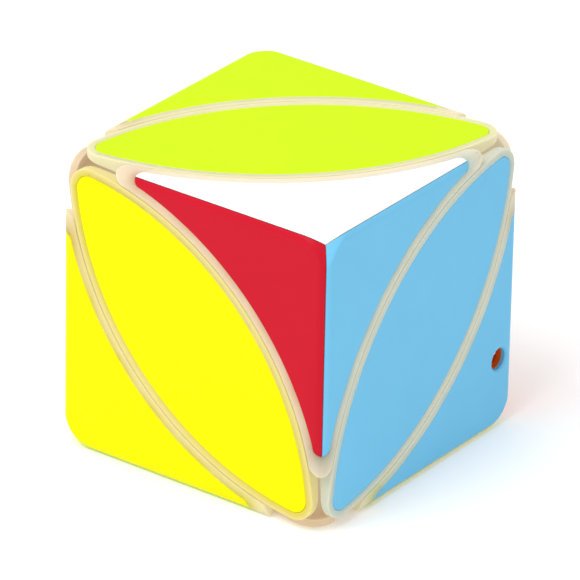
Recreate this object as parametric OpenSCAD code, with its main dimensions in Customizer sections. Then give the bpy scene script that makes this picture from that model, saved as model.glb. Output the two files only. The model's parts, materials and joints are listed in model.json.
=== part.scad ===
// Leaf-cut twisty cube: four turning corners, six leaf pieces, a ball core.
// Every piece is its own solid. Units are millimetres, +Z is up.
// The cube stands on its bottom face, centred on the Z axis.

/* [Overall size] */
// Edge length of the cube
cube_size = 55; // [40:1:75]
// Radius along the edges of the cube
edge_round = 2.0; // [1.5:0.1:3]
// How far back from a turning corner its blunted tip begins
tip_blunt = 6.0; // [4:0.5:8]

/* [Leaf cut] */
// How far short of the free corners the round cut passes
cut_inset = 1.4; // [1:0.1:2.5]
// Gap between neighbouring pieces
piece_gap = 0.30; // [0.2:0.05:0.5]
// Distance from a turning corner to where its arms start to round off
arm_straight = 41.7; // [40:0.1:43]

/* [Tiles and rims] */
// Thickness of the coloured tiles
tile_t = 1.0; // [0.8:0.05:1.1]
// Clearance around a tile in its recess
tile_clear = 0.08; // [0.03:0.01:0.15]
// Width of the rim around a leaf tile
leaf_rim = 1.35; // [1:0.05:2]
// Tip radius of a leaf tile
leaf_tip_r = 2.7; // [2:0.1:4]
// Width of the rim beside a corner tile
corner_rim = 1.6; // [1:0.05:2.2]
// How far short of its arms a corner's tiles start to round off
tile_set = 3.4; // [2:0.1:5]
// Seam between two tiles that meet along an edge
tile_seam = 0.10; // [0.05:0.01:0.2]

/* [Turning mechanism] */
// Radius of the core ball
core_r = 10.6; // [9.5:0.1:11.5]
// Clearance over the core ball
core_clear = 0.4; // [0.2:0.05:0.6]
// Radius of the four posts on the core
post_r = 3.0; // [2.6:0.1:3.4]
// Height of the posts above the ball
post_rise = 2.4; // [1.5:0.1:3]
// Running clearance of a corner on its post, on the radius
post_clear = 0.06; // [0.03:0.01:0.10]
// Room above the ball for the leaf feet
foot_room = 4.4; // [3.5:0.1:5]
// Room above the leaf feet for the corner flanges
flange_room = 3.5; // [3:0.1:4]
// Space between the corner flanges and the leaf bodies
leaf_space = 1.3; // [0.8:0.1:2]
// Half-angle of a turning layer at the flanges
flange_angle = 59.5; // [58.5:0.5:60.5]
// How much wider, in degrees, a layer is at the leaf feet
foot_catch = 5.5; // [4:0.5:6]
// Wall of the neck around the screw well
neck_wall = 2.8; // [2:0.1:3]
// Half-length of a leaf foot
foot_half = 7.6; // [6:0.1:8]
// How far the key stands in from each end of its foot
key_set = 2.1; // [1.5:0.1:3]
// Thickness of the key that joins a foot to its leaf
key_t = 2.2; // [1.6:0.1:2.4]
// Depth of the key's tip below the face
key_roof = 3.1; // [2.5:0.1:4]
// Clearance around the key
key_clear = 0.05; // [0.02:0.01:0.1]

/* [Screw, washer and spring] */
// Radius of the screw shank
shank_r = 1.25; // [1:0.05:1.5]
// Running clearance of a corner on the shank, on the radius
shank_clear = 0.08; // [0.03:0.01:0.10]
// Depth of the screw in its post
thread_depth = 7.5; // [5:0.5:9]
// How far the head stands out past the shank
head_lip = 1.35; // [1:0.05:1.5]
// Thickness of the screw head
head_t = 1.8; // [1.2:0.1:2.2]
// How far the washer stands out past the head
washer_lip = 0.3; // [0.1:0.05:0.5]
// Thickness of the washer
washer_t = 0.6; // [0.4:0.1:0.8]
// Clearance of the washer in its well, on the radius
well_clear = 0.3; // [0.2:0.05:0.5]
// Floor of the well, above the leaf feet
well_floor = 2.5; // [1.5:0.1:3]
// Radius of the spring wire
wire_r = 0.28; // [0.2:0.02:0.35]
// Clearance of the spring in its well, on the radius
coil_clear = 0.62; // [0.4:0.02:0.8]
// Height of the fitted spring
spring_h = 6.0; // [5:0.1:6.5]
// Number of turns in the spring, its two closed end turns included
coil_turns = 5; // [4:1:7]

/* [Cord hole] */
// Radius of the two cord holes that meet inside one corner
cord_r = 2.0; // [1.5:0.1:2.2]
// Land between each cord hole and the upright edge beside it
cord_land = 2.45; // [2.2:0.05:3]
// Height of the cord holes above the bottom face
cord_up = 13.1; // [11:0.1:15]
// Wall around the cord hole inside the corner
cord_wall = 0.7; // [0.5:0.05:0.9]
// Depth of the close-fitting mouths of the cord hole
cord_mouth = 2.0; // [1.6:0.1:2.3]
// How much wider the channel is between its two mouths, on the radius
cord_room = 0.2; // [0.1:0.05:0.3]
// Bevel at the mouth of a cord hole
cord_bevel = 0.3; // [0.1:0.05:0.4]

/* [Hidden] */
$fn = 96;
h = cube_size / 2;
k = cube_size / 55;
hg = piece_gap / 2;
cut_r = cube_size - cut_inset * k;
tip_angle = acos(1 / sqrt(3));
// sizes that grow with the cube
e_round = edge_round * k;
t_tile = tile_t * k;
blunt = tip_blunt * k;
blunt_r = (blunt - e_round) * sqrt(2) + e_round + 0.04 * k;
l_rim = leaf_rim * k;
c_rim = corner_rim * k;
l_tip = leaf_tip_r * k;
arm_c = h - arm_straight * k;
tile_c = arm_c + tile_set * k;
r_core = core_r * k;
r_post = post_r * k;
z_post = r_core + post_rise * k;
r_foot = r_core + foot_room * k;
r_flange = r_foot + flange_room * k;
l_depth = h - r_flange - leaf_space * k;
foot_angle = flange_angle + foot_catch;
foot_h = foot_half * k;
key_h = foot_h - key_set * k;
key_top = key_roof * k;
// arm ends: half-widths seen square on to the edge
arm_rho = (2 * h - sqrt(pow(cut_r + hg, 2) - pow(arm_c + h, 2))) / sqrt(2);
tile_arc = cut_r + hg + c_rim;
tile_rho = (2 * h - sqrt(pow(tile_arc, 2) - pow(tile_c + h, 2))) / sqrt(2);
arm_len = h - arm_c + arm_rho + 0.5;
// leaf skirt: the lower step of a leaf stays inside the round cut
step_y = 2.4 * k;
skirt_in = cut_r - hg - sqrt(pow(cut_r - hg, 2) - pow(l_depth, 2)) + 0.08;
// screw stack
head_r = shank_r + head_lip;
washer_r = head_r + washer_lip;
well_r = washer_r + well_clear;
coil_r = well_r - coil_clear - wire_r;
r_neck = well_r + neck_wall * k;
z_well = r_foot + well_floor * k;
z_spring = z_well + 0.12;
z_washer = z_spring + spring_h * k;
z_head = z_washer + washer_t;
z_thread = z_post - thread_depth * k;
// cord holes, in the frame of the corner at +X -Y +Z
cord_x = h - cord_r - cord_land * k;
cord_z = h - cord_up * k;
lug_r = cord_r + cord_room + cord_wall;
plug_t = cord_mouth * k;
chamber = cord_r + cord_room;
chamber_d = h - cord_x + chamber;

// ---- placing: every piece is drawn once and turned into its place ----
// corner A is at +X -Y +Z, B at -X +Y +Z, C at -X -Y -Z, D at +X +Y -Z
module at_a() translate([0, 0, h]) children();
module at_b() translate([0, 0, h]) rotate([0, 0, 180]) children();
module at_c() translate([0, 0, h]) rotate([0, 180, 0]) children();
module at_d() translate([0, 0, h]) rotate([180, 0, 0]) children();
// a third of a turn about the axis of corner A: front to right, front to top
module third() rotate([90, -90, 0]) children();
module two_thirds() rotate([-90, 0, -90]) children();
module thrice() {
  children();
  third() children();
  two_thirds() children();
}
// +Z of a drawing laid along the axis of corner A
module on_axis() rotate([0, tip_angle, -45]) children();
module on_axis_c() rotate([0, 180 - tip_angle, -135]) children();

// ---- the body of a corner, inset by t below its three faces ----
module edge_waste(t) {
  r = e_round - t;
  translate([0, 0, -h])
    difference() {
      translate([h - e_round, -h - 1, -1]) cube([e_round + 1, e_round + 1, 2 * h + 2]);
      translate([h - e_round, -h + e_round, -2]) cylinder(r = r, h = 2 * h + 4);
    }
}
module corner_form(t) {
  c = h - blunt;
  difference() {
    translate([h - arm_len, -h + t, h - arm_len])
      cube([arm_len - t, arm_len - t, arm_len - t]);
    thrice() edge_waste(t);
    difference() {
      translate([c, -h - 1, c]) cube([blunt + 1, blunt + 1, blunt + 1]);
      translate([c, -c, c]) sphere(r = blunt_r - t);
    }
  }
}
// trims what lies beyond z = zc along the upright edge to a round end
module arm_end(zc, rho) {
  w = 8 * k;
  difference() {
    translate([h - w, -h - 1, -h - 1]) cube([w + 1, w + 1, h + 1 + zc]);
    translate([h, -h, zc]) rotate([90, 0, 45]) cylinder(r = rho, h = 4 * w, center = true);
  }
}

// ---- corner tiles ----
// the part of the front face that a corner tile covers, less the arms' round ends
module front_wedge() {
  s = tile_seam / sqrt(2);
  intersection() {
    translate([0, 0, -h - 2]) linear_extrude(2 * h + 4)
      polygon([[-h - 2, h + 2 - 2 * h - 4], [-h - 2, 0], [-s, 0], [h + 2 - s, -h - 2]]);
    translate([-h - 2, 0, 0]) rotate([90, 0, 90]) linear_extrude(2 * h + 4)
      polygon([[0, -s], [-h - 2, h + 2 - s], [-h - 2, -h - 2], [0, -h - 2]]);
  }
}
module front_arc(r) {
  translate([-h, 1 - h + 8 * k, -h]) rotate([90, 0, 0]) cylinder(r = r, h = 8 * k + 2);
}
module corner_tile() {
  difference() {
    intersection() {
      corner_form(0);
      front_wedge();
    }
    corner_form(t_tile);
    front_arc(tile_arc);
    arm_end(tile_c, tile_rho);
    two_thirds() arm_end(tile_c, tile_rho);
  }
}
// the pocket cut in a corner for its front tile; it ends just past the rounded edge,
// where the tile of the next face has the same outline
module tile_pocket() {
  difference() {
    translate([h - arm_len, -h - 1, h - arm_len])
      cube([arm_len + 1, 1 + e_round + 0.1 * k, arm_len + 1]);
    front_arc(tile_arc - tile_clear);
    arm_end(tile_c, tile_rho + tile_clear);
    two_thirds() arm_end(tile_c, tile_rho + tile_clear);
  }
}

// ---- corner base: body with three arms, neck, flange and hub ----
module flange() {
  difference() {
    intersection() {
      sphere(r = r_flange - hg);
      translate([0, 0, hg / sin(109.4712 - flange_angle)])
        cylinder(h = 20 * k, r1 = 0, r2 = 20 * k * tan(109.4712 - flange_angle));
    }
    sphere(r = r_foot + hg);
  }
}
module corner_base() {
  difference() {
    union() {
      difference() {
        corner_form(0);
        translate([-h, h, h]) sphere(r = cut_r + hg);
        translate([-h, -h, -h]) sphere(r = cut_r + hg);
        translate([h, h, -h]) sphere(r = cut_r + hg);
        thrice() arm_end(arm_c, arm_rho);
      }
      on_axis() {
        flange();
        translate([0, 0, r_core + core_clear]) cylinder(r = r_neck, h = 26 * k - r_core - core_clear);
      }
    }
    difference() {
      thrice() tile_pocket();
      corner_form(t_tile);
    }
    on_axis() {
      cylinder(r = r_post + post_clear, h = z_post + 0.1);
      cylinder(r = shank_r + shank_clear, h = z_well + 1);
      translate([0, 0, z_well]) cylinder(r = well_r, h = 60 * k);
    }
  }
}

// ---- the cord holes of corner D, drawn in the frame of corner A ----
// along X from the right face, and along Y from the front face
module cord_x_bore(r, depth) {
  translate([h - depth, -cord_x, cord_z]) rotate([0, 90, 0]) cylinder(r = r, h = depth + 1);
}
module cord_y_bore(r, depth) {
  translate([cord_x, -h + depth, cord_z]) rotate([90, 0, 0]) cylinder(r = r, h = depth + 1);
}
module cord_mouths() {
  b = cord_bevel;
  translate([h - b, -cord_x, cord_z]) rotate([0, 90, 0])
    cylinder(r1 = cord_r, r2 = cord_r + 2 * b, h = 2 * b);
  translate([cord_x, -h + b, cord_z]) rotate([90, 0, 0])
    cylinder(r1 = cord_r, r2 = cord_r + 2 * b, h = 2 * b);
}
module cord_cut() {
  cord_x_bore(cord_r, plug_t + 0.1);
  cord_y_bore(cord_r, plug_t + 0.1);
  intersection() {
    union() {
      cord_x_bore(chamber, chamber_d);
      cord_y_bore(chamber, chamber_d);
    }
    translate([h - plug_t - chamber_d, -h + plug_t, cord_z - chamber_d])
      cube([chamber_d, chamber_d, 2 * chamber_d]);
  }
  cord_mouths();
}
// lug of the tile with the hole along Y, kept clear of the short plug of the other tile
module cord_lug(grow) {
  d = chamber_d + 0.5 + grow;
  intersection() {
    translate([cord_x, -h + d, cord_z]) rotate([90, 0, 0])
      cylinder(r = lug_r + grow, h = d - t_tile / 2);
    translate([0, -h, 0]) cube([h - plug_t - 0.05 + grow, h, h]);
  }
}
module cord_plug(grow) {
  translate([h - plug_t, -cord_x, cord_z]) rotate([0, 90, 0])
    cylinder(r = lug_r + grow, h = plug_t - t_tile / 2);
}
module cord_base() {
  difference() {
    corner_base();
    cord_lug(tile_clear);
    cord_plug(tile_clear);
    cord_cut();
  }
}
module cord_tile_y() {
  difference() {
    union() {
      corner_tile();
      cord_lug(0);
    }
    cord_cut();
  }
}
module cord_tile_x() {
  difference() {
    union() {
      third() corner_tile();
      cord_plug(0);
    }
    cord_cut();
  }
}

// ---- leaf pieces, drawn on the front face ----
// outline of two arcs about the turning corners with tangent round tips
module leaf_outline(inset, tip) {
  r = cut_r - inset;
  d = h * sqrt(2);
  c = sqrt(pow(r - tip, 2) - d * d);
  st = c * r / (r - tip);
  intersection() {
    translate([h, h]) circle(r = r);
    translate([-h, -h]) circle(r = r);
    rotate(-45) square([2 * st, 2 * d], center = true);
  }
  for (s = [-1, 1]) {
    rotate(-45) translate([s * c, 0]) circle(r = tip);
  }
}
// a slab of the outline, between two depths below the front face
module leaf_slab(inset, tip, top, bottom) {
  translate([0, -h + bottom, 0]) rotate([90, 0, 0])
    linear_extrude(bottom - top) leaf_outline(inset, tip);
}
module leaf_base() {
  tip = l_tip + l_rim;
  difference() {
    union() {
      leaf_slab(hg, tip, 0, step_y);
      leaf_slab(hg + skirt_in, tip - skirt_in, step_y, l_depth);
    }
    translate([-h, h, h]) sphere(r = cut_r + hg);
    translate([h, h, -h]) sphere(r = cut_r + hg);
    leaf_slab(hg + l_rim - tile_clear, l_tip + tile_clear, -1, t_tile);
    foot_key(key_clear, 0.3);
  }
}
module leaf_tile() {
  leaf_slab(hg + l_rim, l_tip, 0, t_tile);
}
// key along the long diagonal of the leaf
module foot_key(grow, over) {
  top = key_top - over;
  rotate([0, 45, 0])
    translate([-key_h - grow, -h + top, -key_t / 2 - grow])
      cube([2 * key_h + 2 * grow, l_depth - top + 1, key_t + 2 * grow]);
}
module layer_cone(angle) {
  translate([0, 0, hg / sin(angle)]) cylinder(h = 24 * k, r1 = 0, r2 = 24 * k * tan(angle));
}
module both_layers(angle) {
  intersection() {
    on_axis() layer_cone(angle);
    on_axis_c() layer_cone(angle);
  }
}
module leaf_foot() {
  difference() {
    union() {
      intersection() {
        both_layers(foot_angle);
        sphere(r = r_foot - hg);
        rotate([0, 45, 0]) translate([-foot_h, -20 * k, -10]) cube([2 * foot_h, 20 * k, 20]);
      }
      intersection() {
        both_layers(flange_angle);
        rotate([0, 45, 0]) translate([-foot_h + 1.2, -h + l_depth, -10])
          cube([2 * foot_h - 2.4, h - l_depth - 12.5 * k, 20]);
      }
      foot_key(0, 0);
    }
    sphere(r = r_core + core_clear);
  }
}

// ---- core ball with four posts ----
module core_post() {
  on_axis() cylinder(r = r_post, h = z_post);
}
module core_bore() {
  on_axis() translate([0, 0, z_thread - 0.5]) cylinder(r = shank_r, h = z_post);
}
module four_ways() {
  children();
  rotate([0, 0, 180]) children();
  rotate([0, 180, 0]) children();
  rotate([180, 0, 0]) children();
}
module core_body() {
  difference() {
    union() {
      sphere(r = r_core);
      four_ways() core_post();
    }
    four_ways() core_bore();
  }
}

// ---- screw, washer, spring, drawn on the axis of corner A ----
module screw() {
  on_axis()
    difference() {
      union() {
        translate([0, 0, z_thread]) cylinder(r = shank_r, h = z_head - z_thread + 0.1);
        translate([0, 0, z_head]) cylinder(r = head_r, h = head_t);
      }
      translate([-1.6, -0.3, z_head + head_t - 1]) cube([3.2, 0.6, 2]);
      translate([-0.3, -1.6, z_head + head_t - 1]) cube([0.6, 3.2, 2]);
    }
}
module washer() {
  on_axis()
    translate([0, 0, z_washer])
      difference() {
        cylinder(r = washer_r, h = washer_t);
        translate([0, 0, -1]) cylinder(r = shank_r + 0.02, h = washer_t + 2);
      }
}
// height of the wire's centre after t turns: the two end turns lie close together
function coil_z(t, rise) =
  let (close = 2 * wire_r + 0.06)
  let (open = (rise - 2 * close) / (coil_turns - 2))
  t < 1 ? close * t
  : t > coil_turns - 1 ? rise - close * (coil_turns - t)
  : close + open * (t - 1);
module spring() {
  sides = 6;
  rings = coil_turns * 16;
  rise = spring_h * k - 2 * wire_r;
  points = [
    for (i = [0 : rings])
      for (j = [0 : sides - 1])
        let (a = i * 360 / 16, b = j * 360 / sides + 90)
        let (r = coil_r + wire_r * cos(b))
        [r * cos(a), r * sin(a), coil_z(i / 16, rise) + wire_r * sin(b)]
  ];
  skin = [
    for (i = [0 : rings - 1])
      for (j = [0 : sides - 1])
        let (n = (j + 1) % sides, lo = i * sides, hi = lo + sides)
        for (f = [[lo + j, lo + n, hi + n], [lo + j, hi + n, hi + j]]) f
  ];
  near_end = [[for (j = [0 : sides - 1]) sides - 1 - j]];
  far_end = [[for (j = [0 : sides - 1]) rings * sides + j]];
  on_axis()
    translate([0, 0, z_spring + wire_r])
      polyhedron(points, concat(skin, near_end, far_end));
}

// ---- colours ----
c_base = [0.93, 0.91, 0.85];
c_core = [0.90, 0.90, 0.88];
c_steel = [0.72, 0.73, 0.75];
c_white = [0.98, 0.98, 0.98];
c_yellow = [0.98, 0.96, 0.05];
c_red = [0.80, 0.10, 0.20];
c_orange = [0.95, 0.42, 0.10];
c_blue = [0.42, 0.74, 0.88];
c_green = [0.80, 0.95, 0.05];

// ---- pieces in place ----
module core() color(c_core) translate([0, 0, h]) core_body();
module corner_a_base() color(c_base) at_a() corner_base();
module corner_a_tile_front() color(c_red) at_a() corner_tile();
module corner_a_tile_right() color(c_blue) at_a() third() corner_tile();
module corner_a_tile_top() color(c_white) at_a() two_thirds() corner_tile();
module corner_b_base() color(c_base) at_b() corner_base();
module corner_b_tile_back() color(c_white) at_b() corner_tile();
module corner_b_tile_left() color(c_orange) at_b() third() corner_tile();
module corner_b_tile_top() color(c_green) at_b() two_thirds() corner_tile();
module corner_c_base() color(c_base) at_c() corner_base();
module corner_c_tile_front() color(c_yellow) at_c() corner_tile();
module corner_c_tile_left() color(c_red) at_c() third() corner_tile();
module corner_c_tile_bottom() color(c_green) at_c() two_thirds() corner_tile();
module corner_d_base() color(c_base) at_d() cord_base();
module corner_d_tile_back() color(c_orange) at_d() cord_tile_y();
module corner_d_tile_right() color(c_blue) at_d() cord_tile_x();
module corner_d_tile_bottom() color(c_yellow) at_d() two_thirds() corner_tile();

module leaf_front_base() color(c_base) at_a() leaf_base();
module leaf_front_tile() color(c_yellow) at_a() leaf_tile();
module leaf_front_foot() color(c_core) at_a() leaf_foot();
module leaf_right_base() color(c_base) at_a() third() leaf_base();
module leaf_right_tile() color(c_blue) at_a() third() leaf_tile();
module leaf_right_foot() color(c_core) at_a() third() leaf_foot();
module leaf_top_base() color(c_base) at_a() two_thirds() leaf_base();
module leaf_top_tile() color(c_green) at_a() two_thirds() leaf_tile();
module leaf_top_foot() color(c_core) at_a() two_thirds() leaf_foot();
module leaf_back_base() color(c_base) at_b() leaf_base();
module leaf_back_tile() color(c_white) at_b() leaf_tile();
module leaf_back_foot() color(c_core) at_b() leaf_foot();
module leaf_left_base() color(c_base) at_b() third() leaf_base();
module leaf_left_tile() color(c_red) at_b() third() leaf_tile();
module leaf_left_foot() color(c_core) at_b() third() leaf_foot();
module leaf_bottom_base() color(c_base) at_c() two_thirds() leaf_base();
module leaf_bottom_tile() color(c_orange) at_c() two_thirds() leaf_tile();
module leaf_bottom_foot() color(c_core) at_c() two_thirds() leaf_foot();

module screw_a() color(c_steel) at_a() screw();
module screw_b() color(c_steel) at_b() screw();
module screw_c() color(c_steel) at_c() screw();
module screw_d() color(c_steel) at_d() screw();
module washer_a() color(c_steel) at_a() washer();
module washer_b() color(c_steel) at_b() washer();
module washer_c() color(c_steel) at_c() washer();
module washer_d() color(c_steel) at_d() washer();
module spring_a() color(c_steel) at_a() spring();
module spring_b() color(c_steel) at_b() spring();
module spring_c() color(c_steel) at_c() spring();
module spring_d() color(c_steel) at_d() spring();

// ---- what is drawn ----
core();
screw_a();
screw_b();
screw_c();
screw_d();
washer_a();
washer_b();
washer_c();
washer_d();
spring_a();
spring_b();
spring_c();
spring_d();
corner_a_base();
corner_a_tile_front();
corner_a_tile_right();
corner_a_tile_top();
corner_b_base();
corner_b_tile_back();
corner_b_tile_left();
corner_b_tile_top();
corner_c_base();
corner_c_tile_front();
corner_c_tile_left();
corner_c_tile_bottom();
corner_d_base();
corner_d_tile_back();
corner_d_tile_right();
corner_d_tile_bottom();
leaf_front_base();
leaf_front_tile();
leaf_front_foot();
leaf_right_base();
leaf_right_tile();
leaf_right_foot();
leaf_top_base();
leaf_top_tile();
leaf_top_foot();
leaf_back_base();
leaf_back_tile();
leaf_back_foot();
leaf_left_base();
leaf_left_tile();
leaf_left_foot();
leaf_bottom_base();
leaf_bottom_tile();
leaf_bottom_foot();
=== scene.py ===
# %% [markdown]
# # A leaf-cut twisty cube
# This is a pocket puzzle: a 55 mm cube cut by round shells about four of its eight vertices. Each of those
# four corners turns, and six leaf-shaped pieces lie across the faces between them. The sizes, the joints and
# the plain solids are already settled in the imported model. This lesson gives them their looks.
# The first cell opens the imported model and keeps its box, so that nothing here outgrows it.

import json
import math

import bmesh
import bpy
import numpy as np
from mathutils import Matrix, Vector
from mathutils.geometry import delaunay_2d_cdt
from mathutils.kdtree import KDTree


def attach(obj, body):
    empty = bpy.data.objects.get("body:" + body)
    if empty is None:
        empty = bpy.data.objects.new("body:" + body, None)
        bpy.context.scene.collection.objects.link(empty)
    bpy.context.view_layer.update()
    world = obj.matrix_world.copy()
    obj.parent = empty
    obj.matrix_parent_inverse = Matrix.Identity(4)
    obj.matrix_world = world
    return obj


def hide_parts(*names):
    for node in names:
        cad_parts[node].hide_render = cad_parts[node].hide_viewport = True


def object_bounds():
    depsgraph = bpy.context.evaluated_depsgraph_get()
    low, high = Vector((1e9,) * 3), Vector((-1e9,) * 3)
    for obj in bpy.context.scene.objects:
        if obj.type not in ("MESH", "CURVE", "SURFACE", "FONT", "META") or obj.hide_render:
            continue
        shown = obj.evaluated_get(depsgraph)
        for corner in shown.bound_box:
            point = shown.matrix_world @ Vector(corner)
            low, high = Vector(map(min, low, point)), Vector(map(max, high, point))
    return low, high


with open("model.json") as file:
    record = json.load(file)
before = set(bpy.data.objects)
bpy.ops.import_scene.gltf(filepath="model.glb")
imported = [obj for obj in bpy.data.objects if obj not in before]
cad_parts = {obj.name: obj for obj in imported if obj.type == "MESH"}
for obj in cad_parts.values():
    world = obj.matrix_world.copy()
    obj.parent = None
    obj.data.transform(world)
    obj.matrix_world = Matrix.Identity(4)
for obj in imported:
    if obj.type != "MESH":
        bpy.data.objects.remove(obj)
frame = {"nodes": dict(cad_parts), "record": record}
CAD_LOW, CAD_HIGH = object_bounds()
MM = 0.001
CENTRE = (CAD_LOW + CAD_HIGH) / 2
HALF = (CAD_HIGH.x - CAD_LOW.x) / 2
print("cube edge in mm:", round(2 * HALF / MM, 2))

# %% [markdown]
# The four turning vertices give every direction that matters: screws, springs and posts lie along them. Each
# body's coloured tiles are found by the ending of their names, so a colour is never written down twice.

# %% Turning corners and tile colours
CORNERS = {"a": (1, -1, 1), "b": (-1, 1, 1), "c": (-1, -1, -1), "d": (1, 1, -1)}
TILE_COLOURS = {
    "white": (0.85, 0.86, 0.87),
    "yellow": (0.80, 0.76, 0.0),
    "red": (0.52, 0.010, 0.024),
    "orange": (0.78, 0.13, 0.008),
    "blue": (0.175, 0.535, 0.80),
    "green": (0.58, 0.83, 0.0),
}
SUBPARTS = {row["node"]: row["material_slot"] for row in frame["record"]["subparts"]}
BODY_OF = {name: body for body, names in frame["record"]["behaviour"]["bodies"].items() for name in names}
tiles = [name for name in SUBPARTS if "_tile" in name]

# %% [markdown]
# ## Shader groups
# A moulded skin is never perfectly even. The plastics here share one effect, so it is a node group, built
# once: a faint grain with long soft flow marks, which feeds a bump and the roughness. The group puts out
# plain values, and the shader stays in each material.

# %% Helpers for node trees
def add_socket(tree, name, kind, default=None, is_input=True):
    side = "INPUT" if is_input else "OUTPUT"
    socket = tree.interface.new_socket(name=name, in_out=side, socket_type=kind)
    if default is not None:
        socket.default_value = default
    return socket


def add_node(tree, kind, values=None, links=None, **settings):
    """A node with its settings, its unlinked input values and its links, in one call."""
    node = tree.nodes.new(kind)
    for key, value in settings.items():
        setattr(node, key, value)
    for key, value in (values or {}).items():
        node.inputs[key].default_value = value
    for key, source in (links or {}).items():
        tree.links.new(source, node.inputs[key])
    return node


# %% [markdown]
# The group's textures are procedural and measured in millimetres.

# %% The moulded-skin group
def make_skin_group():
    tree = bpy.data.node_groups.new("moulded_skin", "ShaderNodeTree")
    add_socket(tree, "Grain Size", "NodeSocketFloat", 0.25)
    add_socket(tree, "Flow Size", "NodeSocketFloat", 9.0)
    add_socket(tree, "Base Roughness", "NodeSocketFloat", 0.3)
    add_socket(tree, "Roughness Spread", "NodeSocketFloat", 0.08)
    add_socket(tree, "Height", "NodeSocketFloat", is_input=False)
    add_socket(tree, "Roughness", "NodeSocketFloat", is_input=False)
    add_socket(tree, "Flow", "NodeSocketFloat", is_input=False)
    enter = tree.nodes.new("NodeGroupInput")
    leave = tree.nodes.new("NodeGroupOutput")
    place = add_node(tree, "ShaderNodeTexCoord")
    in_mm = add_node(tree, "ShaderNodeVectorMath", {1: (1 / MM,) * 3}, {0: place.outputs["Object"]},
                     operation="MULTIPLY")
    per_grain = add_node(tree, "ShaderNodeMath", {0: 1.0}, {1: enter.outputs["Grain Size"]},
                         operation="DIVIDE")
    per_flow = add_node(tree, "ShaderNodeMath", {0: 1.0}, {1: enter.outputs["Flow Size"]}, operation="DIVIDE")
    grain = add_node(tree, "ShaderNodeTexNoise", {"Detail": 3.0, "Roughness": 0.6},
                     {"Vector": in_mm.outputs[0], "Scale": per_grain.outputs[0]})
    flow = add_node(tree, "ShaderNodeTexNoise", {"Detail": 2.0, "Distortion": 0.8},
                    {"Vector": in_mm.outputs[0], "Scale": per_flow.outputs[0]})
    centred = add_node(tree, "ShaderNodeMath", {1: 0.5}, {0: flow.outputs[0]}, operation="SUBTRACT")
    wide = add_node(tree, "ShaderNodeMath",
                    links={0: centred.outputs[0], 1: enter.outputs["Roughness Spread"]},
                    operation="MULTIPLY")
    rough = add_node(tree, "ShaderNodeMath", links={0: wide.outputs[0], 1: enter.outputs["Base Roughness"]},
                     operation="ADD", use_clamp=True)
    tree.links.new(grain.outputs[0], leave.inputs["Height"])
    tree.links.new(rough.outputs[0], leave.inputs["Roughness"])
    tree.links.new(flow.outputs[0], leave.inputs["Flow"])
    return tree


SKIN = make_skin_group()
print("group", SKIN.name, "has", len(SKIN.nodes), "nodes")

# %% [markdown]
# ## Coloured tiles
# The tiles are glossy moulded plastic, coloured right through, with a tone that varies slightly along the
# flow marks. One function makes all six.

# %% Materials of the tiles
def new_material(name):
    material = bpy.data.materials.new(name)
    material.use_nodes = True
    material.node_tree.nodes.clear()
    return material


def skin_in(tree, grain, flow, rough, spread):
    node = add_node(tree, "ShaderNodeGroup", node_tree=SKIN)
    node.inputs["Grain Size"].default_value = grain
    node.inputs["Flow Size"].default_value = flow
    node.inputs["Base Roughness"].default_value = rough
    node.inputs["Roughness Spread"].default_value = spread
    return node


def tile_material(name, colour):
    material = new_material("tile_" + name)
    tree = material.node_tree
    skin = skin_in(tree, grain=0.35, flow=12.0, rough=0.30, spread=0.10)
    deep = [c * 0.93 for c in colour]
    tone = add_node(tree, "ShaderNodeMix",
                    {"A": (*deep, 1), "B": (*colour, 1)}, {"Factor": skin.outputs["Flow"]},
                    data_type="RGBA")
    bump = add_node(tree, "ShaderNodeBump", {"Strength": 0.06, "Distance": 0.02 * MM},
                    {"Height": skin.outputs["Height"]})
    shader = add_node(tree, "ShaderNodeBsdfPrincipled", {"Specular IOR Level": 0.05},
                      {"Base Color": tone.outputs["Result"], "Roughness": skin.outputs["Roughness"],
                       "Normal": bump.outputs[0]})
    out = tree.nodes.new("ShaderNodeOutputMaterial")
    tree.links.new(shader.outputs[0], out.inputs[0])
    return material


MATERIALS = {"tile_" + name: tile_material(name, colour) for name, colour in TILE_COLOURS.items()}
print("tile materials:", ", ".join(sorted(MATERIALS)))

# %% [markdown]
# ## Milky plastic
# The corner and leaf bodies are moulded in a cream plastic that lets light a few millimetres in. Light that
# has come through a coloured tile tints the rim beside it, so each body carries a painted attribute, worked
# out from how near every point lies to each tile. The shader scatters light beneath the surface, and a weak
# glow stands for the light that reaches the narrow valleys from inside.

# %% Material of the bodies
def milky_material():
    material = new_material("milky_plastic")
    tree = material.node_tree
    skin = skin_in(tree, grain=0.30, flow=6.0, rough=0.36, spread=0.12)
    tint = add_node(tree, "ShaderNodeAttribute", attribute_name="tint")
    cloudy = add_node(tree, "ShaderNodeMapRange", {"To Min": 0.95, "To Max": 1.0},
                      {"Value": skin.outputs["Flow"]})
    colour = add_node(tree, "ShaderNodeVectorMath",
                      links={0: tint.outputs["Color"], 1: cloudy.outputs["Result"]},
                      operation="MULTIPLY")
    bump = add_node(tree, "ShaderNodeBump", {"Strength": 0.06, "Distance": 0.02 * MM},
                    {"Height": skin.outputs["Height"]})
    on_face = add_node(tree, "ShaderNodeVectorMath", {1: (0.68,) * 3}, {0: colour.outputs[0]},
                       operation="MULTIPLY")
    shader = add_node(tree, "ShaderNodeBsdfPrincipled",
                      {"Specular IOR Level": 0.15, "Subsurface Weight": 0.5, "Subsurface Scale": 1.5 * MM,
                       "Subsurface Radius": (1.0, 0.9, 0.6), "Emission Strength": 0.36},
                      {"Base Color": on_face.outputs[0], "Emission Color": colour.outputs[0],
                       "Roughness": skin.outputs["Roughness"], "Normal": bump.outputs[0]})
    out = tree.nodes.new("ShaderNodeOutputMaterial")
    tree.links.new(shader.outputs[0], out.inputs[0])
    return material


MATERIALS["milky_plastic"] = milky_material()

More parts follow.
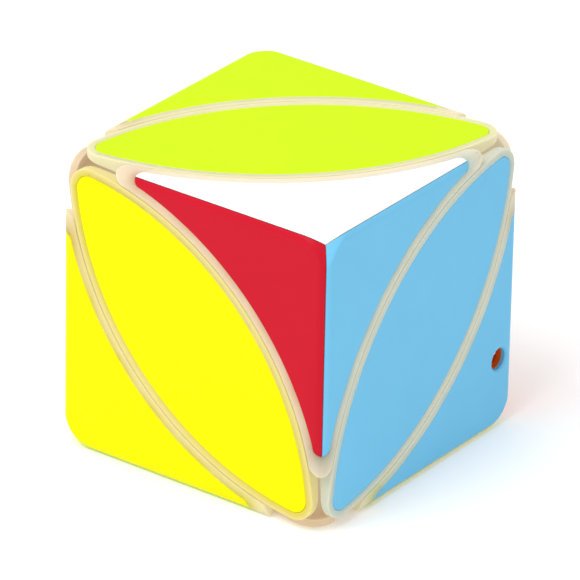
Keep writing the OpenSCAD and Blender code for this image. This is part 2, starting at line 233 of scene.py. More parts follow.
# %% [markdown]
# The tint starts as the cream of the plastic, and each nearby tile filters it. A filter is a strength and the
# colour it lets through. Its share falls off with distance, and bright yellow gives more of its colour away
# than blue or green. A tree of nearest points finds each distance quickly.

# %% Painting the tint
CREAM = np.array((0.80, 0.71, 0.53))
TINT_REACH = 2.2 * MM
FILTERS = {
    "white": (0.0, (1, 1, 1)), "yellow": (0.95, (0.80, 0.76, 0.0)), "red": (0.55, (0.55, 0.20, 0.0)),
    "orange": (0.50, (0.78, 0.30, 0.0)), "blue": (0.60, (0.175, 0.535, 0.80)),
    "green": (0.35, (0.58, 0.83, 0.0)),
}


def tile_points(name):
    mesh = frame["nodes"][name].data
    tree = KDTree(len(mesh.vertices))
    for vertex in mesh.vertices:
        tree.insert(vertex.co, vertex.index)
    tree.balance()
    return tree


def paint_tint(mesh, body):
    near = [(tile_points(t), SUBPARTS[t][5:]) for t in tiles if BODY_OF[t] == body]
    layer = mesh.attributes.new("tint", "FLOAT_COLOR", "POINT")
    values = np.ones((len(mesh.vertices), 4), np.float32)
    for vertex in mesh.vertices:
        colour = CREAM.copy()
        for tree, name in near:
            strength, passed = FILTERS[name]
            share = strength * math.exp(-tree.find(vertex.co)[2] / TINT_REACH)
            colour = colour * (1 - share + share * np.array(passed))
        values[vertex.index, :3] = colour
    layer.data.foreach_set("color", values.ravel())


# %% [markdown]
# ## From working mesh to finished piece
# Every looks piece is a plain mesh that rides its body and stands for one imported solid. Edges sharper than
# 35 degrees stay sharp, and a Weighted Normal keeps flat faces flat beside the small rounds.

# %% Finishing a piece
def plain_piece(rough, node, slot=None):
    """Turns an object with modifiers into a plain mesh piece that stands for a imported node."""
    depsgraph = bpy.context.evaluated_depsgraph_get()
    mesh = bpy.data.meshes.new_from_object(rough.evaluated_get(depsgraph), depsgraph=depsgraph)
    old = rough.data
    bpy.data.objects.remove(rough)
    bpy.data.meshes.remove(old)
    piece = bpy.data.objects.new(node + ("_lining" if slot else "_look"), mesh)
    bpy.context.scene.collection.objects.link(piece)
    slot = slot or SUBPARTS[node]
    mesh.materials.clear()
    mesh.materials.append(MATERIALS[slot])
    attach(piece, BODY_OF[node])
    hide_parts(node)
    return piece


def rough_object(node, mesh):
    mesh.materials.clear()
    mesh.shade_smooth()
    rough = bpy.data.objects.new(node + "_rough", mesh)
    bpy.context.scene.collection.objects.link(rough)
    return rough


def even_shading(rough):
    normals = rough.modifiers.new("even_shading", "WEIGHTED_NORMAL")
    normals.mode = "FACE_AREA"
    normals.keep_sharp = True


def piece_from_faces(node, points, faces, slot=None):
    """A finished piece from points in mm and index lists, with every face turned outward."""
    mesh = bpy.data.meshes.new(node)
    mesh.from_pydata([Vector(p) * MM for p in points], [], faces)
    bm = bmesh.new()
    bm.from_mesh(mesh)
    bmesh.ops.remove_doubles(bm, verts=bm.verts, dist=0.0005 * MM)
    bmesh.ops.dissolve_degenerate(bm, edges=bm.edges, dist=0.0002 * MM)
    bmesh.ops.recalc_face_normals(bm, faces=bm.faces)
    bm.to_mesh(mesh)
    bm.free()
    rough = rough_object(node, mesh)
    mesh.set_sharp_from_angle(angle=math.radians(35))
    even_shading(rough)
    return plain_piece(rough, node, slot)


# %% [markdown]
# ## Leaf tiles
# A leaf's outline is two arcs about the turning vertices of its face, joined by round tips. Moving it
# inward only changes the radii, so rings at several depths match point for point and make the rounded rim.

# %% Leaf tile outline
H = HALF / MM
CUT = 53.6
GAP = 0.15
LEAF_RIM = 1.35
LEAF_TIP = 2.7
TILE_THICK = 1.0
ROUND = 0.16


def leaf_ring(inset):
    """Points (u, v) of the tile outline moved inward; the turning vertices lie at (H, H) and (-H, -H)."""
    arc_r = CUT - GAP - LEAF_RIM
    tip_at = math.sqrt((arc_r - LEAF_TIP) ** 2 - 2 * H * H)
    tips = [Vector((tip_at, -tip_at)) / math.sqrt(2), Vector((-tip_at, tip_at)) / math.sqrt(2)]
    ring = []
    for side, centre in enumerate((Vector((-H, -H)), Vector((H, H)))):
        first, last = (tips if side == 0 else tips[::-1])
        start = math.atan2(*(first - centre).yx)
        stop = math.atan2(*(last - centre).yx)
        if stop < start:
            stop += 2 * math.pi
        for i in range(72):
            a = start + (stop - start) * i / 72
            ring.append(centre + (arc_r - inset) * Vector((math.cos(a), math.sin(a))))
        other = -centre
        after = math.atan2(*(last - other).yx)
        while after < stop:
            after += 2 * math.pi
        for i in range(28):
            a = stop + (after - stop) * i / 28
            ring.append(last + (LEAF_TIP - inset) * Vector((math.cos(a), math.sin(a))))
    return ring


def rim_profile(radius, steps=4):
    """(inset, depth) pairs over a quarter round, from the side wall up to the face."""
    turns = [math.pi / 2 * i / steps for i in range(steps + 1)]
    return [(radius - radius * math.cos(t), radius - radius * math.sin(t)) for t in turns]


print("leaf outline has", len(leaf_ring(0)), "points")


# %% [markdown]
# Each face has one leaf tile. A face is given by its axis and by the side of the cube it is on.

# %% Leaf tiles on the six faces
FACE_AXES = {"front": (1, -1), "back": (1, 1), "right": (0, 1), "left": (0, -1),
             "top": (2, 1), "bottom": (2, -1)}


def unit(axis, sign):
    v = Vector((0, 0, 0))
    v[axis] = sign
    return v


def leaf_tile(face):
    axis, sign = FACE_AXES[face]
    corner = next(c for c in CORNERS.values() if c[axis] == sign)
    i, j = [n for n in range(3) if n != axis]
    u, v, out = unit(i, corner[i]), unit(j, corner[j]), unit(axis, sign)
    middle = CENTRE / MM + out * H
    levels = [(0.0, TILE_THICK)] + rim_profile(ROUND)
    points, faces, count = [], [], len(leaf_ring(0))
    for inset, depth in levels:
        points += [middle + p.x * u + p.y * v - depth * out for p in leaf_ring(inset)]
    for level in range(len(levels) - 1):
        low, high = level * count, (level + 1) * count
        faces += [(low + n, low + (n + 1) % count, high + (n + 1) % count, high + n) for n in range(count)]
    faces.append(list(range(count))[::-1])
    faces.append([(len(levels) - 1) * count + n for n in range(count)])
    return piece_from_faces(f"leaf_{face}_tile", points, faces)


for face in FACE_AXES:
    leaf_tile(face)
print("leaf tiles made:", len(FACE_AXES))

# %% [markdown]
# ## Corner tiles
# A corner tile covers its face from the vertex out along two arms. It is a height field: p and q are the
# distances from the two cube edges, and the depth below the face comes from the rolled edge and from the
# blunted vertex. The same rule with a thickness gives the hidden underside, so both skins match.

# %% Depth rules of a corner tile
EDGE = 2.0
BLUNT = 6.0
BLUNT_R = (BLUNT - EDGE) * math.sqrt(2) + EDGE + 0.04
SEAM = 0.10 / math.sqrt(2)
ARC = CUT + GAP + 1.6
ARM_Q = 38.3


def edge_depth(t, thick):
    if t >= EDGE:
        return thick
    return EDGE - math.sqrt(max((EDGE - thick) ** 2 - (EDGE - t) ** 2, 0))


def depth_at(p, q, thick):
    depth = max(edge_depth(p, thick), edge_depth(q, thick))
    if p < BLUNT and q < BLUNT:
        left = (BLUNT_R - thick) ** 2 - (BLUNT - p) ** 2 - (BLUNT - q) ** 2
        depth = max(depth, BLUNT - math.sqrt(max(left, 0)))
    return depth


def solve(test, low, high):
    """The value between low and high where test turns true."""
    for _ in range(40):
        mid = (low + high) / 2
        low, high = (low, mid) if test(mid) else (mid, high)
    return high


def mitre(q, thick):
    """How far from the edge the tile starts, where its neighbour takes over."""
    return solve(lambda p: p - depth_at(p, q, thick) > SEAM, 0, BLUNT)


def mitre_corner(thick):
    return solve(lambda p: p - depth_at(p, p, thick) > SEAM, 0, BLUNT)


print("the mitre runs", round(mitre(20, 0), 3), "mm from the edge and ends",
      round(mitre_corner(0), 3), "mm in")

# %% [markdown]
# The outline goes up one round arm end, along the big arc, round the other arm end and back along both
# mitres. Every outline has the same number of points, whatever its inset and depth.

# %% Outline of a corner tile
ARM_STEPS = 14
ARC_STEPS = 80


def free_edge(inset, thick):
    """The rim side of the outline: arm end, big arc, arm end."""
    radius = ARC + inset
    reach = (2 * H - math.sqrt(radius ** 2 - (2 * H - ARM_Q) ** 2)) / math.sqrt(2)
    flat = math.acos(SEAM / math.sqrt(2) / reach)
    arm = []
    for i in range(ARM_STEPS + 1):
        turn = flat * (1 - i / ARM_STEPS)
        across = reach * math.cos(turn) * math.sqrt(2)
        q = ARM_Q + reach * math.sin(turn)
        p = solve(lambda t: t - depth_at(t, q, thick) > across, 0, BLUNT)
        arm.append((p, q))
    start = math.asin((2 * H - ARM_Q) / radius)
    stop = math.pi / 2 - start
    arc = []
    for i in range(1, ARC_STEPS):
        a = start + (stop - start) * i / ARC_STEPS
        arc.append((2 * H - radius * math.cos(a), 2 * H - radius * math.sin(a)))
    return arm + arc + [(q, p) for p, q in reversed(arm)]


def mitre_line(thick, inset):
    """The way back along the mitre, from the far arm to the vertex and on to the near arm."""
    near = mitre_corner(thick)
    end = free_edge(inset, thick)[0][1]
    way = [end + (BLUNT - end) * (i / 30) for i in range(1, 31)]
    way += [BLUNT + (near - BLUNT) * i / 18 for i in range(1, 18)]
    side = [(mitre(q, thick), q) for q in way]
    return [(q, p) for p, q in side] + [(near, near)] + side[::-1]


outline_size = len(free_edge(0, 0)) + len(mitre_line(0, 0))
print("a corner tile outline has", outline_size, "points")

# %% [markdown]
# Points inside the outline are strewn close together where the surface curves and nowhere else. A Delaunay
# fill joins them to the outline. Two tiles have a round cord hole, which is one more loop in the fill.

# %% Filling the sheets
def inner_points(thick, hole):
    found = []
    near = mitre_corner(thick) + 0.15
    rows = [near + 0.32 * i for i in range(int((6.6 - near) / 0.32))] + [6.9 + 0.9 * i for i in range(36)]
    columns = [0.78, 0.95, 1.15, 1.35, 1.6, 1.85, 2.05, 2.35, 2.9]
    for row in rows:
        if row < 6.6:
            found += [(row, other) for other in rows if other < 6.6]
        found += [(c + thick / 2, row) for c in columns] + [(row, c + thick / 2) for c in columns]
    keep = []
    for p, q in found:
        clear_of_arc = math.hypot(2 * H - p, 2 * H - q) > ARC + ROUND + 0.12
        clear_of_end = max(p, q) < ARM_Q
        clear_of_mitre = p > mitre(q, thick) + 0.1 and q > mitre(p, thick) + 0.1
        clear_of_hole = hole is None or math.hypot(p - hole[0], q - hole[1]) > 3.2
        if clear_of_arc and clear_of_end and clear_of_mitre and clear_of_hole:
            keep.append((p, q))
    return keep


def fill_sheet(outline, thick, hole, hole_radius):
    """Triangles over the outline. Returns (p, q) points and faces; the outline's points come first."""
    points = list(outline)
    loops = [list(range(len(outline)))]
    if hole:
        ring = circle(hole, hole_radius)
        loops.append(list(range(len(points), len(points) + 96)))
        points += ring
    fixed = len(points)
    edges = [(loop[n], loop[(n + 1) % len(loop)]) for loop in loops for n in range(len(loop))]
    points += inner_points(thick, hole)
    out = delaunay_2d_cdt([Vector(p) for p in points], edges, [], 0, 1e-5, True)
    verts, _, faces, origin = out[0], out[1], out[2], out[3]
    names = [orig[0] if orig else None for orig in origin]
    kept = []
    for face in faces:
        middle = sum((verts[n] for n in face), Vector((0, 0))) / len(face)
        if inside(middle, outline) and not (hole and (middle - Vector(hole)).length < hole_radius * 0.999):
            kept.append(list(face))
    order = {}
    for n, name in enumerate(names):
        if name is not None and name < fixed:
            order[name] = n
    return verts, kept, [order[n] for n in range(fixed)]


def inside(point, outline):
    hit = False
    for n, (p1, q1) in enumerate(outline):
        p2, q2 = outline[n - 1]
        if (q1 > point.y) != (q2 > point.y) and point.x < (p2 - p1) * (point.y - q1) / (q2 - q1) + p1:
            hit = not hit
    return hit


# %% [markdown]
# A finished tile is the upper sheet, its rounded rim, the side walls and the underside, set on its vertex
# and face. The cord hole passes two tiles. The lug under the back one is carried over from the packed
# solid, and the right one has a lining of its own in orange.

# %% Corner tiles on the four corners
CORD = (4.45, 13.1)
CORD_R = 2.0
LUG_REACH = 7.5
CORD_BEVEL = 0.3
LUG_R = 2.9
LINING_TO = 2.0


def corner_tile_points(hole):
    """Points (p, q, depth) and faces of one tile."""
    profile = rim_profile(ROUND)
    rings = [(inset, extra) for inset, extra in profile]
    top_edge = free_edge(rings[-1][0], 0)
    top_outline = top_edge + mitre_line(0, rings[-1][0])
    verts, faces, order = fill_sheet(top_outline, 0, hole, CORD_R + CORD_BEVEL)
    points = [(v.x, v.y, depth_at(v.x, v.y, 0)) for v in verts]
    faces = [list(f) for f in faces]
    width = len(top_edge)
    last = order[:width]
    ring_ids = {len(rings) - 1: last}
    for level in range(len(rings) - 2, -1, -1):
        inset, extra = rings[level]
        base = len(points)
        points += [(p, q, depth_at(p, q, 0) + extra) for p, q in free_edge(inset, 0)]
        ring_ids[level] = list(range(base, base + width))
        upper = ring_ids[level + 1]
        faces += [[base + n, base + n + 1, upper[n + 1], upper[n]] for n in range(width - 1)]
    levels = len(rings) - 1
    start_column = [ring_ids[level][0] for level in range(levels)]
    end_column = [ring_ids[level][-1] for level in range(levels)]
    loop = (ring_ids[0] + end_column[1:] + [last[-1]] + order[width:len(top_outline)] + [last[0]]
            + start_column[:0:-1])
    low_edge = free_edge(0, TILE_THICK)
    ends = [free_edge(rings[level][0], TILE_THICK) for level in range(1, levels + 1)]
    low_outline = (low_edge + [e[-1] for e in ends] + mitre_line(TILE_THICK, rings[-1][0])
                   + [e[0] for e in ends[::-1]])
    verts, low_faces, low_order = fill_sheet(low_outline, TILE_THICK, hole, LUG_R)
    base = len(points)
    points += [(v.x, v.y, depth_at(v.x, v.y, TILE_THICK)) for v in verts]
    faces += [[base + n for n in f][::-1] for f in low_faces]
    low = [base + n for n in low_order[:len(low_outline)]]
    count = len(loop)
    faces += [[loop[n], loop[(n + 1) % count], low[(n + 1) % count], low[n]] for n in range(count)]
    if hole:
        upper = order[len(top_outline):]
        for depth in (CORD_BEVEL, TILE_THICK):
            base = len(points)
            points += [(*spot, depth) for spot in circle(hole, CORD_R)]
            faces += [[upper[n], upper[(n + 1) % 96], base + (n + 1) % 96, base + n] for n in range(96)]
            upper = list(range(base, base + 96))
    return points, faces


def circle(centre, radius):
    turns = [2 * math.pi * n / 96 for n in range(96)]
    return [(centre[0] + radius * math.cos(a), centre[1] + radius * math.sin(a)) for a in turns]


def carried_lug(node, face_axis, face_at):
    """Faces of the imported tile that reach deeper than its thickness: the lug and its bore."""
    mesh = frame["nodes"][node].data
    points, faces = [], []
    for polygon in mesh.polygons:
        corners = [mesh.vertices[n].co / MM for n in polygon.vertices]
        if any(abs(c[face_axis] - face_at) > TILE_THICK + 0.001 for c in corners):
            if all(math.dist(c, corners[0]) < 12 for c in corners):
                faces.append([len(points) + n for n in range(len(corners))])
                points += corners
    return points, faces


def lining(hole):
    """The short ring behind the hole of the right tile."""
    loops = [(CORD_R, TILE_THICK), (CORD_R, LINING_TO), (LUG_R, LINING_TO), (LUG_R, TILE_THICK)]
    points = [(*spot, depth) for radius, depth in loops for spot in circle(hole, radius)]
    faces = []
    for n in range(4):
        low, high = 96 * n, 96 * ((n + 1) % 4)
        faces += [[low + m, low + (m + 1) % 96, high + (m + 1) % 96, high + m] for m in range(96)]
    return points, faces


def corner_tile(corner_name, face):
    axis, sign = FACE_AXES[face]
    corner = CORNERS[corner_name]
    vertex = CENTRE / MM + H * Vector(corner)
    i, j = [n for n in range(3) if n != axis]
    p_way, q_way, out = unit(i, -corner[i]), unit(j, -corner[j]), unit(axis, sign)
    node = f"corner_{corner_name}_tile_{face}"
    hole = CORD if corner_name == "d" and face in ("right", "back") else None
    points, faces = corner_tile_points(hole)
    points = [vertex + p * p_way + q * q_way - d * out for p, q, d in points]
    if node == "corner_d_tile_right":
        ring, ring_faces = lining(hole)
        ring = [vertex + p * p_way + q * q_way - d * out for p, q, d in ring]
        piece_from_faces(node, ring, ring_faces, "tile_orange")
    elif hole:
        lug, lug_faces = carried_lug(node, axis, vertex[axis])
        keep = []
        for f in lug_faces:
            flat = [lug[n] for n in f]
            off = [Vector((abs((c - vertex)[i]) - hole[0], abs((c - vertex)[j]) - hole[1])).length
                   for c in flat]
            if max(off) < LUG_REACH and min(off) < LUG_R + 0.02:
                keep.append([len(points) + n for n in f])
        faces += keep
        points += lug
    return piece_from_faces(node, points, faces)


for name in [t for t in tiles if t.startswith("corner")]:
    corner_tile(name.split("_")[1], name.split("_")[3])
print("corner tiles made:", len([t for t in tiles if t.startswith("corner")]))

# %% [markdown]
# ## Bodies of corners and leaves
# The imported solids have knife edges, and a moulded part never does. A copy of each body is merged into one
# closed mesh, flat regions are joined again, and a Bevel rounds the sharp edges. The walls of the tile
# pockets stay crisp, because the tiles close them, so edges on those walls get no bevel weight.

# %% Which edges are rounded
SHARP = math.radians(28)
BODY_ROUND = 0.10 * MM
POCKET_ARC = ARC - 0.08
POCKET_END = (2 * H - math.sqrt(ARC ** 2 - (2 * H - ARM_Q) ** 2)) / math.sqrt(2) + 0.08
LEAF_POCKET = CUT - GAP - LEAF_RIM + 0.08


def on_corner_pocket(point, corner):
    depths = [H - point[n] * corner[n] for n in range(3)]
    for n in range(3):
        a, b, c = depths[n], depths[n - 1], depths[n - 2]
        on_arc = a < 2.4 and abs(math.hypot(2 * H - b, 2 * H - c) - POCKET_ARC) < 0.05
        across = (b - c) / math.sqrt(2)
        on_end = max(b, c) < 4 and a > ARM_Q - 0.1 and abs(math.hypot(across, a - ARM_Q) - POCKET_END) < 0.06
        if on_arc or on_end:
            return True
    return False


def on_leaf_pocket(point, axis):
    if abs(point[axis]) < H - TILE_THICK - 0.05:
        return False
    flat = [n for n in range(3) if n != axis]
    sign = 1 if point[axis] > 0 else -1
    for corner in (c for c in CORNERS.values() if c[axis] == sign):
        reach = math.hypot(*(point[n] - H * corner[n] for n in flat))
        if reach < LEAF_POCKET - 0.05:
            continue
        if reach < LEAF_POCKET + 0.05:
            return True
    return False


# %% [markdown]
# Each body is then softened and finished as a looks piece.

# %% Softened copies of the bodies
def softened(node, width, segments=3):
    mesh = frame["nodes"][node].data.copy()
    kind, where = node.split("_")[:2]
    bm = bmesh.new()
    bm.from_mesh(mesh)
    bmesh.ops.remove_doubles(bm, verts=bm.verts, dist=0.002 * MM)
    bmesh.ops.dissolve_limit(bm, angle_limit=math.radians(0.4), verts=bm.verts, edges=bm.edges)
    for _ in range(6):
        bmesh.ops.triangulate(bm, faces=bm.faces, quad_method="BEAUTY", ngon_method="BEAUTY")
        long_edges = [e for e in bm.edges if e.calc_length() > 2.2 * MM]
        if not long_edges:
            break
        bmesh.ops.subdivide_edges(bm, edges=long_edges, cuts=1)
    weight = bm.edges.layers.float.new("bevel_weight_edge")
    walls = set()
    for vertex in bm.verts:
        point = (vertex.co - CENTRE) / MM
        if kind == "corner" and on_corner_pocket(point, CORNERS[where]):
            walls.add(vertex)
        if kind == "leaf" and on_leaf_pocket(point, FACE_AXES[where][0]):
            walls.add(vertex)
    for edge in bm.edges:
        sharp = len(edge.link_faces) == 2 and edge.calc_face_angle(0) > SHARP
        if sharp and not any(v in walls for v in edge.verts):
            edge[weight] = 1.0
    bm.to_mesh(mesh)
    bm.free()
    rough = rough_object(node, mesh)
    mesh.set_sharp_from_angle(angle=math.radians(40))
    bevel = rough.modifiers.new("round_edges", "BEVEL")
    bevel.limit_method = "WEIGHT"
    bevel.width = width
    bevel.segments = segments
    bevel.use_clamp_overlap = False
    even_shading(rough)
    return plain_piece(rough, node)


for name in [n for n in SUBPARTS if n.endswith("_base")]:
    piece = softened(name, BODY_ROUND)
    paint_tint(piece.data, BODY_OF[name])

# %% [markdown]
# ## Core, feet and steel
# These hardly show at rest and appear when a corner is mid-turn.

# %% Materials inside
def core_material():
    material = new_material("core_plastic")
    tree = material.node_tree
    skin = skin_in(tree, grain=0.4, flow=5.0, rough=0.42, spread=0.12)
    tone = add_node(tree, "ShaderNodeMix", {"A": (0.74, 0.74, 0.71, 1), "B": (0.82, 0.82, 0.79, 1)},
                    {"Factor": skin.outputs["Flow"]}, data_type="RGBA")
    bump = add_node(tree, "ShaderNodeBump", {"Strength": 0.1, "Distance": 0.03 * MM},
                    {"Height": skin.outputs["Height"]})
    shader = add_node(tree, "ShaderNodeBsdfPrincipled", {"Specular IOR Level": 0.4},
                      {"Base Color": tone.outputs["Result"], "Roughness": skin.outputs["Roughness"],
                       "Normal": bump.outputs[0]})
    out = tree.nodes.new("ShaderNodeOutputMaterial")
    tree.links.new(shader.outputs[0], out.inputs[0])
    return material


def steel_material():
    material = new_material("steel")
    tree = material.node_tree
    skin = skin_in(tree, grain=0.15, flow=2.0, rough=0.28, spread=0.2)
    tone = add_node(tree, "ShaderNodeMix", {"A": (0.52, 0.53, 0.55, 1), "B": (0.66, 0.67, 0.69, 1)},
                    {"Factor": skin.outputs["Flow"]}, data_type="RGBA")
    shader = add_node(tree, "ShaderNodeBsdfPrincipled", {"Metallic": 1.0},
                      {"Base Color": tone.outputs["Result"], "Roughness": skin.outputs["Roughness"]})
    out = tree.nodes.new("ShaderNodeOutputMaterial")
    tree.links.new(shader.outputs[0], out.inputs[0])
    return material


MATERIALS["core_plastic"] = core_material()
MATERIALS["steel"] = steel_material()
for name, slot in SUBPARTS.items():
    if slot == "core_plastic" or name.startswith("washer"):
        mesh = frame["nodes"][name].data
        mesh.materials.clear()
        mesh.materials.append(MATERIALS[slot])

# %% [markdown]
# ## Springs and screw threads
# Both are a wire wound along an axis, so one Geometry Nodes tree makes them: a line is cut into steps, each
# step is turned about the axis and lifted, and a small profile is swept along. Close end turns, as on a
# ground spring, come from a lift that is slow at both ends.

# %% The winding tree
WINDING_INPUTS = {"Radius": 2.3, "Wire": 0.28, "Turns": 5.0, "Rise": 5.0, "Close": 0.6}


def make_winding_tree(material):
    tree = bpy.data.node_groups.new("winding", "GeometryNodeTree")
    for name, value in WINDING_INPUTS.items():
        add_socket(tree, name, "NodeSocketFloat", value)
    add_socket(tree, "Sides", "NodeSocketInt", 10)
    add_socket(tree, "Geometry", "NodeSocketGeometry", is_input=False)
    enter = tree.nodes.new("NodeGroupInput").outputs
    leave = tree.nodes.new("NodeGroupOutput")

    def math_node(operation, a, b):
        values = {n: v for n, v in enumerate((a, b)) if isinstance(v, (int, float))}
        links = {n: v for n, v in enumerate((a, b)) if not isinstance(v, (int, float))}
        return add_node(tree, "ShaderNodeMath", values, links, operation=operation).outputs[0]

    def ramp(value, low, high, top):
        values, links = {"To Min": 0.0}, {"Value": value}
        for key, item in (("From Min", low), ("From Max", high), ("To Max", top)):
            (values if isinstance(item, (int, float)) else links)[key] = item
        return add_node(tree, "ShaderNodeMapRange", values, links).outputs["Result"]

    steps = math_node("MULTIPLY", enter["Turns"], 40.0)
    line = add_node(tree, "GeometryNodeCurvePrimitiveLine", {"End": (0, 0, 1)})
    cut = add_node(tree, "GeometryNodeResampleCurve", links={"Curve": line.outputs[0], "Count": steps})
    along = tree.nodes.new("GeometryNodeSplineParameter").outputs["Factor"]
    turn = math_node("MULTIPLY", along, enter["Turns"])
    angle = math_node("MULTIPLY", turn, 2 * math.pi)
    before_last = math_node("SUBTRACT", enter["Turns"], 1.0)
    middle = math_node("SUBTRACT", enter["Rise"], math_node("MULTIPLY", enter["Close"], 2.0))
    first = ramp(turn, 0.0, 1.0, enter["Close"])
    open_part = ramp(turn, 1.0, before_last, middle)
    last = ramp(turn, before_last, enter["Turns"], enter["Close"])
    lift = math_node("ADD", math_node("ADD", first, open_part), last)
    x = math_node("MULTIPLY", enter["Radius"], math_node("COSINE", angle, 0))
    y = math_node("MULTIPLY", enter["Radius"], math_node("SINE", angle, 0))
    place = add_node(tree, "ShaderNodeCombineXYZ", links={"X": x, "Y": y, "Z": lift})
    wound = add_node(tree, "GeometryNodeSetPosition",
                     links={"Geometry": cut.outputs[0], "Position": place.outputs[0]})
    profile = add_node(tree, "GeometryNodeCurvePrimitiveCircle",
                       links={"Radius": enter["Wire"], "Resolution": enter["Sides"]})
    swept = add_node(tree, "GeometryNodeCurveToMesh", {"Fill Caps": True},
                     {"Curve": wound.outputs[0], "Profile Curve": profile.outputs[0]})
    real = add_node(tree, "GeometryNodeRealizeInstances", links={"Geometry": swept.outputs[0]})
    coated = add_node(tree, "GeometryNodeSetMaterial", {"Material": material}, {"Geometry": real.outputs[0]})
    tree.links.new(coated.outputs[0], leave.inputs["Geometry"])
    return tree


WINDING = make_winding_tree(MATERIALS["steel"])
print("winding tree:", len(WINDING.nodes), "nodes")


# %% [markdown]
# The tree's result is read back as plain points and faces, to be placed and joined like any other mesh.

# %% Winding in millimetres, as plain mesh data
def wound_mesh(name, **sizes):
    """The tree's result as (points, faces) in mm, wound upward from z = 0."""
    host = bpy.data.objects.new(name, bpy.data.meshes.new(name))
    bpy.context.scene.collection.objects.link(host)
    modifier = host.modifiers.new("wind", "NODES")
    modifier.node_group = WINDING
    for item in WINDING.interface.items_tree:
        if item.in_out == "INPUT" and item.name in sizes:
            modifier[item.identifier] = sizes[item.name]
    depsgraph = bpy.context.evaluated_depsgraph_get()
    mesh = bpy.data.meshes.new_from_object(host.evaluated_get(depsgraph), depsgraph=depsgraph)
    points = [v.co.copy() for v in mesh.vertices]
    faces = [list(p.vertices) for p in mesh.polygons]
    bpy.data.objects.remove(host)
    bpy.data.meshes.remove(mesh)
    return points, faces


def lathe(profile, sides=48):
    """Faces of (radius, height) pairs turned about the axis, closed at both ends."""
    points, faces = [], []
    for radius, z in profile:
        points += [Vector((radius * math.cos(a), radius * math.sin(a), z))
                   for a in (2 * math.pi * n / sides for n in range(sides))]
    for level in range(len(profile) - 1):
        low = level * sides
        faces += [[low + n, low + (n + 1) % sides, low + sides + (n + 1) % sides, low + sides + n]
                  for n in range(sides)]
    faces.append(list(range(sides))[::-1])
    faces.append([(len(profile) - 1) * sides + n for n in range(sides)])
    return points, faces


def joined(*parts):
    points, faces = [], []
    for more, polygons in parts:
        base = len(points)
        points += more
        faces += [[base + n for n in f] for f in polygons]
    return points, faces


def lifted(part, height):
    return [p + Vector((0, 0, height)) for p in part[0]], part[1]


def on_corner_axis(part, corner):
    """Turns points drawn along +Z onto the axis of a corner, from the centre of the cube."""
    turn = Vector((0, 0, 1)).rotation_difference(Vector(corner).normalized())
    return [CENTRE / MM + turn @ p for p in part[0]], part[1]


# %% [markdown]
# Along each corner's axis, from the centre of the cube: the shank starts in the post, the spring sits on the
# floor of the well, and the washer and the screw head close it. The head is turned with a chamfer, and its
# cross recess is cut by two thin blocks.

# %% Four springs and four screws
THREAD_FROM, SPRING_FROM, WASHER_FROM, HEAD_FROM, HEAD_T = 5.5, 17.62, 23.62, 24.22, 1.8
SHANK, HEAD, WIRE, COIL = 1.25, 2.6, 0.28, 2.3
SPRING_RISE = 6.0 - 2 * WIRE


def block(low, high):
    points = [Vector((x, y, z)) for z in (low[2], high[2])
              for y in (low[1], high[1]) for x in (low[0], high[0])]
    return points, [[0, 2, 3, 1], [4, 5, 7, 6], [0, 1, 5, 4], [2, 6, 7, 3], [0, 4, 6, 2], [1, 3, 7, 5]]


def mesh_object(name, part):
    mesh = bpy.data.meshes.new(name)
    mesh.from_pydata(part[0], [], part[1])
    thing = bpy.data.objects.new(name, mesh)
    bpy.context.scene.collection.objects.link(thing)
    return thing


def head_with_cross():
    top = HEAD_FROM + HEAD_T
    head = mesh_object("head", lathe([(0.6, HEAD_FROM), (HEAD - 0.1, HEAD_FROM), (HEAD, HEAD_FROM + 0.1),
                                      (HEAD, top - 0.55), (HEAD - 0.25, top - 0.2), (HEAD - 0.8, top),
                                      (1.7, top)]))
    cutters = []
    for size in ((1.6, 0.3), (0.3, 1.6)):
        cutter = mesh_object("cutter", block((-size[0], -size[1], top - 1), (size[0], size[1], top + 1)))
        cut = head.modifiers.new("cross", "BOOLEAN")
        cut.operation, cut.solver, cut.object = "DIFFERENCE", "EXACT", cutter
        cutters.append(cutter)
    depsgraph = bpy.context.evaluated_depsgraph_get()
    mesh = bpy.data.meshes.new_from_object(head.evaluated_get(depsgraph), depsgraph=depsgraph)
    part = [v.co.copy() for v in mesh.vertices], [list(p.vertices) for p in mesh.polygons]
    for thing in cutters + [head]:
        bpy.data.objects.remove(thing)
    bpy.data.meshes.remove(mesh)
    return part


head = head_with_cross()
shank = lathe([(0.6, THREAD_FROM), (1.0, THREAD_FROM + 0.5), (1.02, THREAD_FROM + 7.4),
               (SHANK, THREAD_FROM + 7.7),
               (SHANK, HEAD_FROM + 0.1)])
thread = wound_mesh("thread", Radius=1.02, Wire=0.22, Turns=14.0, Rise=6.6, Close=0.47, Sides=3)
spring = lifted(wound_mesh("spring", Radius=COIL, Wire=WIRE, Turns=5.0, Rise=SPRING_RISE,
                           Close=2 * WIRE + 0.06,
                           Sides=10), SPRING_FROM + WIRE)
screw = joined(head, shank, lifted(thread, THREAD_FROM + 0.4))
for letter, corner in CORNERS.items():
    piece_from_faces("spring_" + letter, *on_corner_axis(spring, corner))
    piece_from_faces("screw_" + letter, *on_corner_axis(screw, corner))
print("spring has", len(spring[1]), "faces and a screw", len(screw[1]))

# %% [markdown]
# ## Floor, light and camera
# The cube stands on white, so bright all round that only a faint shadow shows where it touches.

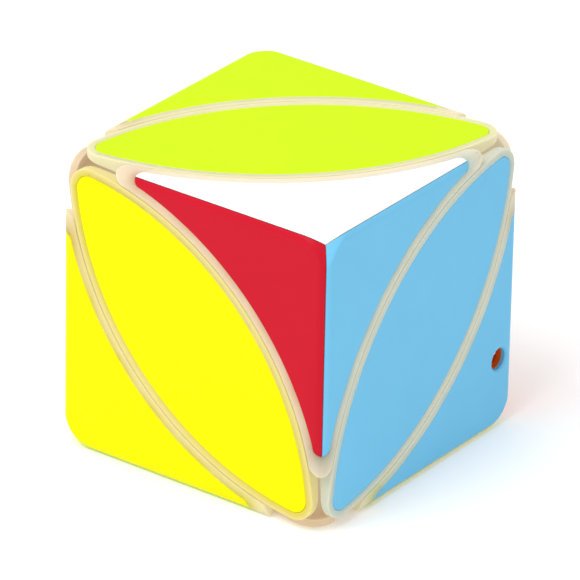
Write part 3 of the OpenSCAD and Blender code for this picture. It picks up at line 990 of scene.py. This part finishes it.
# %% The floor
def make_floor():
    bm = bmesh.new()
    bmesh.ops.create_grid(bm, x_segments=8, y_segments=8, size=1.5)
    mesh = bpy.data.meshes.new("floor")
    bm.to_mesh(mesh)
    bm.free()
    floor = bpy.data.objects.new("floor", mesh)
    bpy.context.scene.collection.objects.link(floor)
    material = new_material("white_floor")
    tree = material.node_tree
    shader = add_node(tree, "ShaderNodeBsdfPrincipled",
                      {"Base Color": (0.92, 0.92, 0.92, 1), "Roughness": 0.9,
                                                         "Specular IOR Level": 0.1,
                                                         "Emission Color": (1, 1, 1, 1),
                                                         "Emission Strength": 0.12})
    out = tree.nodes.new("ShaderNodeOutputMaterial")
    tree.links.new(shader.outputs[0], out.inputs[0])
    mesh.materials.append(material)
    return floor


make_floor()

# %% [markdown]
# The room is white and bright from every side, and one soft light adds the shadow.

# %% The lights
world = bpy.data.worlds.new("white_room")
bpy.context.scene.world = world
world.use_nodes = True
world.node_tree.nodes["Background"].inputs["Color"].default_value = (1, 1, 1, 1)
world.node_tree.nodes["Background"].inputs["Strength"].default_value = 0.85


def soft_light(name, azimuth, elevation, distance, size, power):
    data = bpy.data.lights.new(name, "AREA")
    data.shape = "DISK"
    data.size = size
    data.energy = power
    light = bpy.data.objects.new(name, data)
    bpy.context.scene.collection.objects.link(light)
    a, e = math.radians(azimuth), math.radians(elevation)
    back = Vector((math.sin(a) * math.cos(e), -math.cos(a) * math.cos(e), math.sin(e)))
    light.location = CENTRE + back * distance
    light.rotation_mode = "QUATERNION"
    light.rotation_quaternion = (-back).to_track_quat("-Z", "Y")
    return light


soft_light("key", azimuth=-15, elevation=55, distance=0.8, size=0.6, power=4.0)

# %% [markdown]
# The camera looks down from the front right and is rolled by about a degree.

# %% The camera
CAMERA_AZIMUTH = math.radians(36.2)
CAMERA_ELEVATION = math.radians(26.9)
CAMERA_ROLL = math.radians(1.18)
CAMERA_DISTANCE = 1.1085


def make_camera():
    a, e, roll = CAMERA_AZIMUTH, CAMERA_ELEVATION, CAMERA_ROLL
    back = Vector((math.sin(a) * math.cos(e), -math.cos(a) * math.cos(e), math.sin(e)))
    right = Vector((math.cos(a), math.sin(a), 0))
    up = back.cross(right)
    side = right * math.cos(roll) + up * math.sin(roll)
    top = up * math.cos(roll) - right * math.sin(roll)
    data = bpy.data.cameras.new("camera")
    data.sensor_width = 36
    data.lens = 407.9
    data.clip_start, data.clip_end = 0.05, 10
    camera = bpy.data.objects.new("camera", data)
    bpy.context.scene.collection.objects.link(camera)
    camera.matrix_world = Matrix((side, top, back)).transposed().to_4x4()
    camera.location = CENTRE + back * CAMERA_DISTANCE - top * 0.68 * MM
    bpy.context.scene.camera = camera
    return camera


make_camera()
bpy.context.scene.view_settings.view_transform = "Standard"
